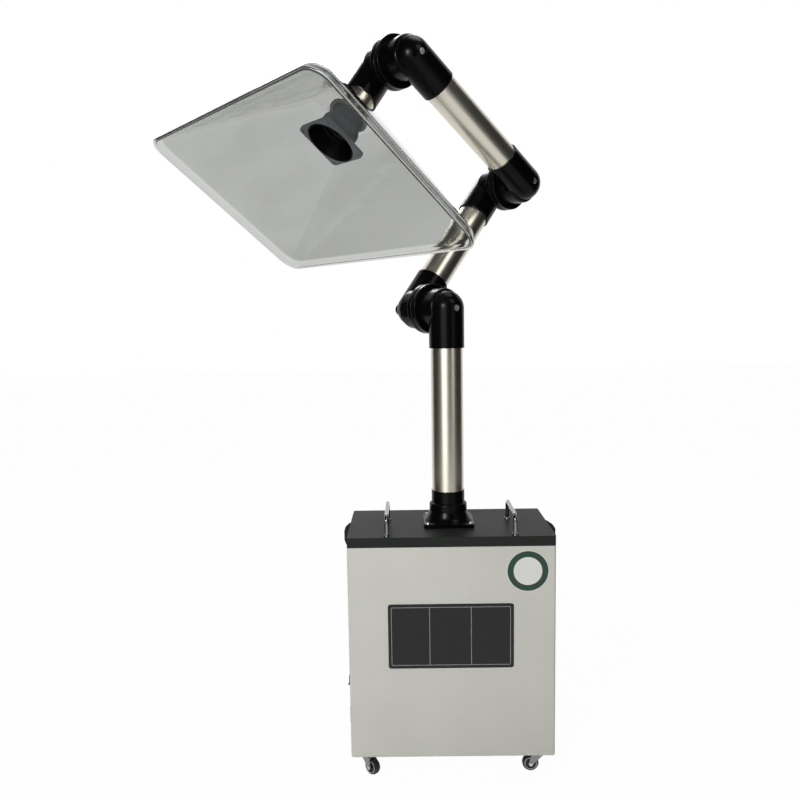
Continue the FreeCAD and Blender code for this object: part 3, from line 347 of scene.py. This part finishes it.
# The inside: a radial blower of sheet metal with a moulded wheel on the cabinet's floor, and over it
# a deck that carries a carbon filter and two filters of white fibre, one on the other.
blower_metal = finish("blower_metal", shade(176, 178, 180), shade(160, 162, 165),
                      rough=(0.3, 0.45), grain=500, patch=20, bump=0.1, Metallic=1.0)
dress(blower_metal, "blower_case", "blower_motor", "filter_deck")
fan_plastic = finish("fan_plastic", shade(60, 60, 62), shade(70, 70, 72),
                     rough=(0.4, 0.5), grain=900, patch=20, bump=0.2)
dress(fan_plastic, "blower_wheel")
carbon_media = finish("carbon_media", shade(30, 30, 31), shade(44, 44, 45),
                      rough=(0.8, 0.95), grain=350, patch=60, bump=1.0)
dress(carbon_media, "carbon_filter")
filter_media = finish("filter_media", shade(236, 236, 230), shade(222, 222, 214),
                      rough=(0.85, 0.95), grain=600, patch=25, bump=0.8)
dress(filter_media, "main_filter", "pre_filter")

# The label on the front: a black plastic plate with round corners, stuck on. A fine grey border and
# two rules are printed on it and part it into three plain columns.
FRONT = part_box("cabinet_shell")[0].y
LABEL_X, LABEL_Z = -0.0025, 0.342
LABEL_WIDE, LABEL_TALL, LABEL_THICK = 0.285, 0.151, 0.0008
LABEL_ROUND, LABEL_ROUND_STEPS = 0.006, 6
BORDER_IN, BORDER_ROUND, BORDER_ROUND_STEPS = 0.007, 0.003, 4
RULE_WIDE, RULE_RISE, RULE_SHARES = 0.0013, 0.0002, (0.331, 0.662)


def front_plate(name, place, wide, tall):
    """A flat sheet that faces the front, selected in edit mode and ready to be shaped."""
    deselect()
    bpy.ops.mesh.primitive_plane_add(size=1, location=place, rotation=FACING_FRONT)
    sheet = bpy.context.object
    sheet.name = name
    sheet.scale = (wide, tall, 1)
    bpy.ops.object.transform_apply(location=True, rotation=True, scale=True)
    bpy.ops.object.mode_set(mode="EDIT")
    bpy.ops.mesh.select_all(action="SELECT")
    return sheet


def close_up():
    """All faces of the piece in hand point outwards, and edit mode ends."""
    bpy.ops.mesh.select_all(action="SELECT")
    bpy.ops.mesh.normals_make_consistent(inside=False)
    bpy.ops.object.mode_set(mode="OBJECT")


def thicken(depth):
    """The sheet in hand gets its thickness towards the front."""
    bpy.ops.mesh.select_all(action="SELECT")
    bpy.ops.mesh.extrude_region_move(TRANSFORM_OT_translate={"value": (0, -depth, 0)})


front_label = front_plate("front_label", (LABEL_X, FRONT, LABEL_Z), LABEL_WIDE, LABEL_TALL)
bpy.ops.mesh.bevel(offset=LABEL_ROUND, segments=LABEL_ROUND_STEPS, affect="VERTICES")
thicken(LABEL_THICK)
close_up()
label_black = finish("label_black", shade(12, 12, 13), shade(17, 17, 18),
                     rough=(0.2, 0.3), grain=1200, patch=18, bump=0.04, Specular_IOR_Level=0.35)
front_label.data.materials.append(label_black)
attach(front_label, "cabinet")

label_face = FRONT - LABEL_THICK
border_wide, border_tall = LABEL_WIDE - 2 * BORDER_IN, LABEL_TALL - 2 * BORDER_IN
label_rules = front_plate("label_rules", (LABEL_X, label_face, LABEL_Z), border_wide, border_tall)
bpy.ops.mesh.bevel(offset=BORDER_ROUND, segments=BORDER_ROUND_STEPS, affect="VERTICES")
bpy.ops.mesh.select_mode(type="FACE")
bpy.ops.mesh.select_all(action="SELECT")
bpy.ops.mesh.inset(thickness=RULE_WIDE)
bpy.ops.mesh.delete(type="FACE")
for share in RULE_SHARES:
    rule_place = (LABEL_X + (share - 0.5) * LABEL_WIDE, label_face, LABEL_Z)
    bpy.ops.mesh.primitive_plane_add(size=1, location=rule_place, rotation=FACING_FRONT)
    bpy.ops.transform.resize(value=(RULE_WIDE, 1, border_tall - 2 * RULE_WIDE), center_override=rule_place)
thicken(RULE_RISE)
close_up()
rule_grey = finish("rule_grey", shade(150, 152, 153), shade(128, 130, 131),
                   rough=(0.35, 0.5), grain=900, patch=60, bump=0.02)
label_rules.data.materials.append(rule_grey)
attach(label_rules, "cabinet")

# The round sticker in the front's upper corner: thin glossy film, cut to a disc and stuck on, with
# a white edge, a dark green ring and a plain pale field.
STICKER_X, STICKER_Z = 0.1716, 0.4916
STICKER_RADIUS, STICKER_THICK, STICKER_STEPS = 0.0475, 0.0004, 72
STICKER_EDGE, STICKER_RING = 0.0015, 0.0137
LOOKS_FORWARD = -0.5
deselect()
bpy.ops.mesh.primitive_circle_add(vertices=STICKER_STEPS, radius=STICKER_RADIUS, fill_type="NGON",
                                  location=(STICKER_X, FRONT, STICKER_Z), rotation=FACING_FRONT)
sticker = bpy.context.object
sticker.name = "front_sticker"
bpy.ops.object.transform_apply(location=True, rotation=True, scale=True)
bpy.ops.object.mode_set(mode="EDIT")
thicken(STICKER_THICK)
bpy.ops.mesh.select_mode(type="FACE")
bpy.ops.mesh.inset(thickness=STICKER_EDGE)
bpy.ops.mesh.inset(thickness=STICKER_RING)
close_up()
film_white = finish("film_white", shade(222, 223, 219), shade(212, 213, 208),
                    rough=(0.18, 0.28), grain=500, patch=20, bump=0.03)
film_green = finish("film_green", shade(8, 52, 36), shade(12, 60, 42),
                    rough=(0.18, 0.28), grain=500, patch=20, bump=0.03)
sticker.data.materials.append(film_white)
sticker.data.materials.append(film_green)
ring_outside = STICKER_RADIUS - STICKER_EDGE
for face in sticker.data.polygons:
    out = math.hypot(face.center.x - STICKER_X, face.center.z - STICKER_Z)
    if face.normal.y < LOOKS_FORWARD and ring_outside - STICKER_RING < out < ring_outside:
        face.material_index = 1
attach(sticker, "cabinet")

# The lid: a shallow tray of folded sheet steel in dark grey powder coat. It rests on the cabinet's
# mouth and presses on a frame of black foam.
lid_paint = finish("lid_paint", shade(40, 42, 40), shade(46, 48, 46),
                   rough=(0.35, 0.45), grain=900, patch=8, bump=0.25, Specular_IOR_Level=0.03)
dress(lid_paint, "lid")
foam_seal = finish("foam_seal", shade(20, 20, 20), shade(28, 28, 28),
                   rough=(0.85, 0.95), grain=1400, patch=40, bump=0.8)
dress(foam_seal, "lid_seal")

# The bow handles and the side grips: two handles of bent plated rod that stand on turned feet on the
# lid, and a bowed black moulding fixed to each end of it.
# The handles take the chrome with its painted darker shade.
dress(chrome, "handle_left", "handle_right")
grip_black = finish("grip_black", shade(6, 6, 7), shade(10, 10, 11),
                    rough=(0.6, 0.7), grain=900, patch=14, bump=0.1, Specular_IOR_Level=0.02)
dress(grip_black, "side_grip_left", "side_grip_right")

# The arm's foot: a black moulded adapter whose square flange is held to the lid by four plated screws
# and swells up into a round collar for the mast.
black_moulding = finish("black_moulding", shade(5, 5, 6), shade(9, 9, 10),
                        rough=(0.2, 0.3), grain=900, patch=14, bump=0.05, Specular_IOR_Level=0.1)
dress(black_moulding, "base_adapter")
dress(zinc_steel, "base_screws")

# The arm's tubes: four lengths of drawn aluminium tube, satin anodised to a warm tone, pushed into
# the sockets of the mouldings. The grain runs along each tube.
TUBE_DRAWN = 60
ARM_HINGES = ("shoulder_hinge", "elbow_hinge", "wrist_hinge")
shoulder, elbow, wrist = (Vector(joints[name]["pos_m"]) for name in ARM_HINGES)
TUBE_AXES = {
    "tube_mast": Vector(joints["mast_turn"]["axis"]),
    "tube_two": elbow - shoulder,
    "tube_three": wrist - elbow,
    "tube_head": Vector(joints["hood_turn"]["axis"]),
}
for tube, axis in TUBE_AXES.items():
    drawn = finish(tube + "_aluminium", shade(218, 213, 198), shade(204, 199, 185),
                   rough=(0.27, 0.36), grain=900, patch=14, bump=0.06,
                   drawn_along=TUBE_DRAWN * axis.normalized(), Metallic=1.0)
    dress(drawn, tube)

# The elbows: two glossy black mouldings side by side on a plated through bolt, with a friction washer
# of fibre between them and a hand knob at the bolt's far end that sets how stiff the hinge is.
washer_fibre = finish("washer_fibre", shade(40, 38, 36), shade(52, 50, 47),
                      rough=(0.7, 0.85), grain=900, patch=40, bump=0.4)
for letter in "abc":
    dress(black_moulding, f"elbow_{letter}_lower", f"elbow_{letter}_upper", f"hinge_knob_{letter}")
    dress(washer_fibre, f"hinge_washer_{letter}")
    dress(zinc_steel, f"hinge_bolt_{letter}")

# The bolt caps: bright turned caps with a round edge, pushed over the bolts' heads, one in the recess
# of each front elbow half.
CAP_RADIUS, CAP_HEIGHT, CAP_STEPS = 0.008, 0.0055, 48
CAP_ROUND, CAP_ROUND_STEPS = 0.0018, 4
HALF_APART, HEAD_TOP = 0.060, 0.03225
SMOOTH_BELOW = math.radians(40)
CAPS = {
    "a": ("shoulder_hinge", "mast"),
    "b": ("elbow_hinge", "link_three"),
    "c": ("wrist_hinge", "link_three"),
}
deselect()
bpy.ops.mesh.primitive_cylinder_add(vertices=CAP_STEPS, radius=CAP_RADIUS, depth=CAP_HEIGHT,
                                    location=(0, 0, CAP_HEIGHT / 2))
cap_model = bpy.context.object
bpy.ops.object.transform_apply(location=True, rotation=True, scale=True)
rounding = cap_model.modifiers.new("rounding", "BEVEL")
rounding.width, rounding.segments, rounding.limit_method = CAP_ROUND, CAP_ROUND_STEPS, "ANGLE"
bpy.ops.object.modifier_apply(modifier="rounding")
bpy.ops.object.shade_smooth_by_angle(angle=SMOOTH_BELOW)
cap_steel = finish("cap_steel", shade(212, 211, 204), shade(196, 195, 189),
                   rough=(0.25, 0.38), grain=500, patch=60, bump=0.08, Metallic=0.6)
cap_model.data.materials.append(cap_steel)
for letter, (joint, body) in CAPS.items():
    bolt_axis = Vector(joints[joint]["axis"]).normalized()
    cap = bpy.data.objects.new("hinge_cap_" + letter, cap_model.data.copy())
    scene.collection.objects.link(cap)
    cap_stance = (-bolt_axis).to_track_quat("Z", "Y").to_matrix().to_4x4()
    cap_stance.translation = Vector(joints[joint]["pos_m"]) - (HALF_APART + HEAD_TOP) * bolt_axis
    cap.data.transform(cap_stance)
    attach(cap, body)
bpy.data.objects.remove(cap_model)

# The nozzle: a grey moulding of the foot's shape, turned round on the end of the head tube. Its bore is
# painted near black, a painted shade for the dark duct. A soft rubber grommet behind it holds the hood on
# the tube.
# Painted shade: out to these radii inside the bore the moulding is painted near black.
MOUTH_OUT, MOUTH_BLACK, NECK_BLACK, COLLAR_BLACK = 0.078, 0.0573, 0.0427, 0.0383
NECK_UP, COLLAR_FROM, COLLAR_TO = 0.032, 0.047, 0.050
BORE_PAINTED_SHADE = shade(4, 4, 5)
hood_pivot = Vector(joints["hood_turn"]["pos_m"])
outward = Vector(joints["hood_turn"]["axis"]).normalized()
grey_moulding = finish("grey_moulding", shade(100, 103, 105), shade(110, 113, 115),
                       rough=(0.4, 0.5), grain=900, patch=16, bump=0.15, Specular_IOR_Level=0.05)
nozzle_tree = grey_moulding.node_tree
bore_reach, bore_height = out_and_up(nozzle_tree, hood_pivot + MOUTH_OUT * outward, -outward)
bell = slide(nozzle_tree, bore_height, 0, NECK_UP, MOUTH_BLACK, NECK_BLACK)
collar = slide(nozzle_tree, bore_height, COLLAR_FROM, COLLAR_TO, NECK_BLACK + NECK_UP, COLLAR_BLACK)
bore_shade_reach = nozzle_tree.nodes.new("ShaderNodeMath")
bore_shade_reach.operation = "MINIMUM"
nozzle_tree.links.new(bell, bore_shade_reach.inputs[0])
nozzle_tree.links.new(collar, bore_shade_reach.inputs[1])
in_bore = nozzle_tree.nodes.new("ShaderNodeMath")
in_bore.operation = "LESS_THAN"
nozzle_tree.links.new(bore_reach, in_bore.inputs[0])
nozzle_tree.links.new(bore_shade_reach.outputs[0], in_bore.inputs[1])
# The painted shade goes on inside the bore.
paint_over(nozzle_tree, in_bore.outputs[0], BORE_PAINTED_SHADE)
dress(grey_moulding, "hood_nozzle")
soft_rubber = finish("soft_rubber", shade(150, 150, 147), shade(138, 138, 135),
                     rough=(0.5, 0.6), grain=700, patch=30, bump=0.3)
dress(soft_rubber, "hood_grommet")

# The hood: one sheet of clear plastic, heated and drawn into a shallow pyramid with soft hips, a short
# skirt and a flat lip, and bored at its crown for the grommet. The drawing leaves faint ripples along the
# sheet. Its grey is painted shade for the dim room seen through it, and its skirt and lip are painted
# lighter.
HOOD_SHORT, HOOD_LONG, HOOD_FLAT_SHORT, HOOD_FLAT_LONG = 0.468, 0.738, 0.142, 0.168
HOOD_CROWN, HOOD_SKIRT, HOOD_RIM = 0.142, 0.348, 0.366
HOOD_WALL, HOOD_LIP, HOOD_PIVOT_OUT, WALL_INWARDS = 0.003, 0.005, 0.150, -1
HOOD_BORE, BORE_STEPS, DRILL_LONG = 0.042, 96, 0.03
HIP_ROUND, HIP_STEPS = 0.036, 8
CROWN_ROUND, SKIRT_ROUND, FOLD_STEPS = 0.02, 0.007, 5
EDGE_ROUND, EDGE_STEPS, EDGE_SHARP = 0.0008, 2, math.radians(50)
# Painted shade: the clear sheet is tinted grey to stand in for the dim room seen through it, darker in
# random patches.
SHEET_PAINTED_SHADE, SHEET_PAINTED_SHADE_PATCH = (0.52, 0.53, 0.515, 1), (0.32, 0.33, 0.315, 1)
# Painted light: the skirt and lip are painted lighter than the rest of the sheet, over the dark edges its
# layers give there.
RIM_PAINTED_LIGHT, RIM_FADE = (0.6, 0.61, 0.595, 1), 0.003
SHEET_IOR, SHEET_DRAWN, STRETCH_SCALE = 1.35, 5, 6
RIPPLE_SCALE, RIPPLE_DEPTH, RIPPLE_BUMP = 26, 0.004, 0.3
IN_LINE = 1e-5


def pick_edges(piece, test):
    """Leaves the piece in edit mode with only those edges selected whose two ends pass a test."""
    bpy.ops.object.mode_set(mode="EDIT")
    bpy.ops.mesh.select_mode(type="EDGE")
    bpy.ops.mesh.select_all(action="DESELECT")
    bpy.ops.object.mode_set(mode="OBJECT")
    spots = piece.data.vertices
    for edge in piece.data.edges:
        edge.select = test(*(spots[end].co for end in edge.vertices))
    bpy.ops.object.mode_set(mode="EDIT")


def draw_out(drop, across, along):
    """The sheet's open edge is drawn down and spread, as over a former."""
    bpy.ops.mesh.extrude_edges_move(TRANSFORM_OT_translate={"value": (0, 0, drop)})
    bpy.ops.transform.resize(value=(across, along, 1), center_override=(0, 0, 0))


def on_corner(start, stop):
    """True for an edge on one of the sheet's four corners, and false for one along a side."""
    level = abs(start.z - stop.z) < IN_LINE
    straight = abs(start.x - stop.x) < IN_LINE or abs(start.y - stop.y) < IN_LINE
    return not (level and straight)


def on_level(height):
    """A test for edges that lie at one height all along."""
    return lambda start, stop: max(abs(start.z - height), abs(stop.z - height)) < IN_LINE


def round_over(piece, test, radius, steps):
    """The edges that pass a test are rounded off."""
    pick_edges(piece, test)
    bpy.ops.mesh.bevel(offset=radius, segments=steps, affect="EDGES", clamp_overlap=False)
    bpy.ops.object.mode_set(mode="OBJECT")


deselect()
bpy.ops.mesh.primitive_plane_add(size=1, location=(0, 0, HOOD_CROWN))
hood = bpy.context.object
hood.name = "clear_hood"
hood.scale = (HOOD_FLAT_SHORT, HOOD_FLAT_LONG, 1)
bpy.ops.object.transform_apply(location=True, rotation=True, scale=True)
pick_edges(hood, lambda start, stop: True)
draw_out(HOOD_SKIRT - HOOD_CROWN, HOOD_SHORT / HOOD_FLAT_SHORT, HOOD_LONG / HOOD_FLAT_LONG)
draw_out(HOOD_RIM - HOOD_WALL - HOOD_SKIRT, 1, 1)
draw_out(0, 1 + 2 * HOOD_LIP / HOOD_SHORT, 1 + 2 * HOOD_LIP / HOOD_LONG)
bpy.ops.object.mode_set(mode="OBJECT")
round_over(hood, on_corner, HIP_ROUND, HIP_STEPS)
round_over(hood, on_level(HOOD_CROWN), CROWN_ROUND, FOLD_STEPS)
round_over(hood, on_level(HOOD_SKIRT), SKIRT_ROUND, FOLD_STEPS)
bpy.ops.object.mode_set(mode="EDIT")
bpy.ops.mesh.select_all(action="SELECT")
bpy.ops.mesh.remove_doubles(threshold=IN_LINE)
close_up()
crown_face = min(hood.data.polygons, key=lambda face: face.center.z)
if crown_face.normal.z > 0:
    bpy.ops.object.mode_set(mode="EDIT")
    bpy.ops.mesh.flip_normals()
    bpy.ops.object.mode_set(mode="OBJECT")
wall = hood.modifiers.new("wall", "SOLIDIFY")
wall.thickness, wall.offset, wall.use_even_offset = HOOD_WALL, WALL_INWARDS, True
bpy.ops.object.modifier_apply(modifier="wall")

deselect()
bpy.ops.mesh.primitive_cylinder_add(vertices=BORE_STEPS, radius=HOOD_BORE, depth=DRILL_LONG,
                                    location=(0, 0, HOOD_CROWN))
drill = bpy.context.object
deselect()
hood.select_set(True)
bpy.context.view_layer.objects.active = hood
bore = hood.modifiers.new("bore", "BOOLEAN")
bore.operation, bore.object, bore.solver = "DIFFERENCE", drill, "EXACT"
bpy.ops.object.modifier_apply(modifier="bore")
bpy.data.objects.remove(drill)
soft_rim = hood.modifiers.new("soft_rim", "BEVEL")
soft_rim.width, soft_rim.segments = EDGE_ROUND, EDGE_STEPS
soft_rim.limit_method, soft_rim.angle_limit = "ANGLE", EDGE_SHARP
bpy.ops.object.modifier_apply(modifier="soft_rim")
bpy.ops.object.shade_smooth_by_angle(angle=SMOOTH_BELOW)

long_way = Vector(joints["wrist_hinge"]["axis"]).normalized()
hood_stance = Matrix((long_way.cross(outward), long_way, outward)).transposed().to_4x4()
hood_stance.translation = hood_pivot - HOOD_PIVOT_OUT * outward
hood.matrix_world = hood_stance
bpy.ops.object.transform_apply(location=True, rotation=True, scale=True)

# The clear sheet takes the painted grey shade as its tint.
clear_sheet = finish("clear_sheet", SHEET_PAINTED_SHADE, SHEET_PAINTED_SHADE_PATCH,
                     rough=(0.02, 0.03), grain=RIPPLE_SCALE, patch=STRETCH_SCALE, bump=RIPPLE_BUMP,
                     drawn_along=SHEET_DRAWN * long_way, depth=RIPPLE_DEPTH,
                     IOR=SHEET_IOR, Transmission_Weight=1.0)
sheet_tree = clear_sheet.node_tree
_, sheet_height = out_and_up(sheet_tree, hood_stance.translation, outward)
# Painted light: above the skirt's fold the sheet takes the lighter rim colour.
rim = slide(sheet_tree, sheet_height, HOOD_SKIRT - RIM_FADE, HOOD_SKIRT, 0, 1)
paint_over(sheet_tree, rim, RIM_PAINTED_LIGHT)
hood.data.materials.append(clear_sheet)
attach(hood, "hood")
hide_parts("hood")
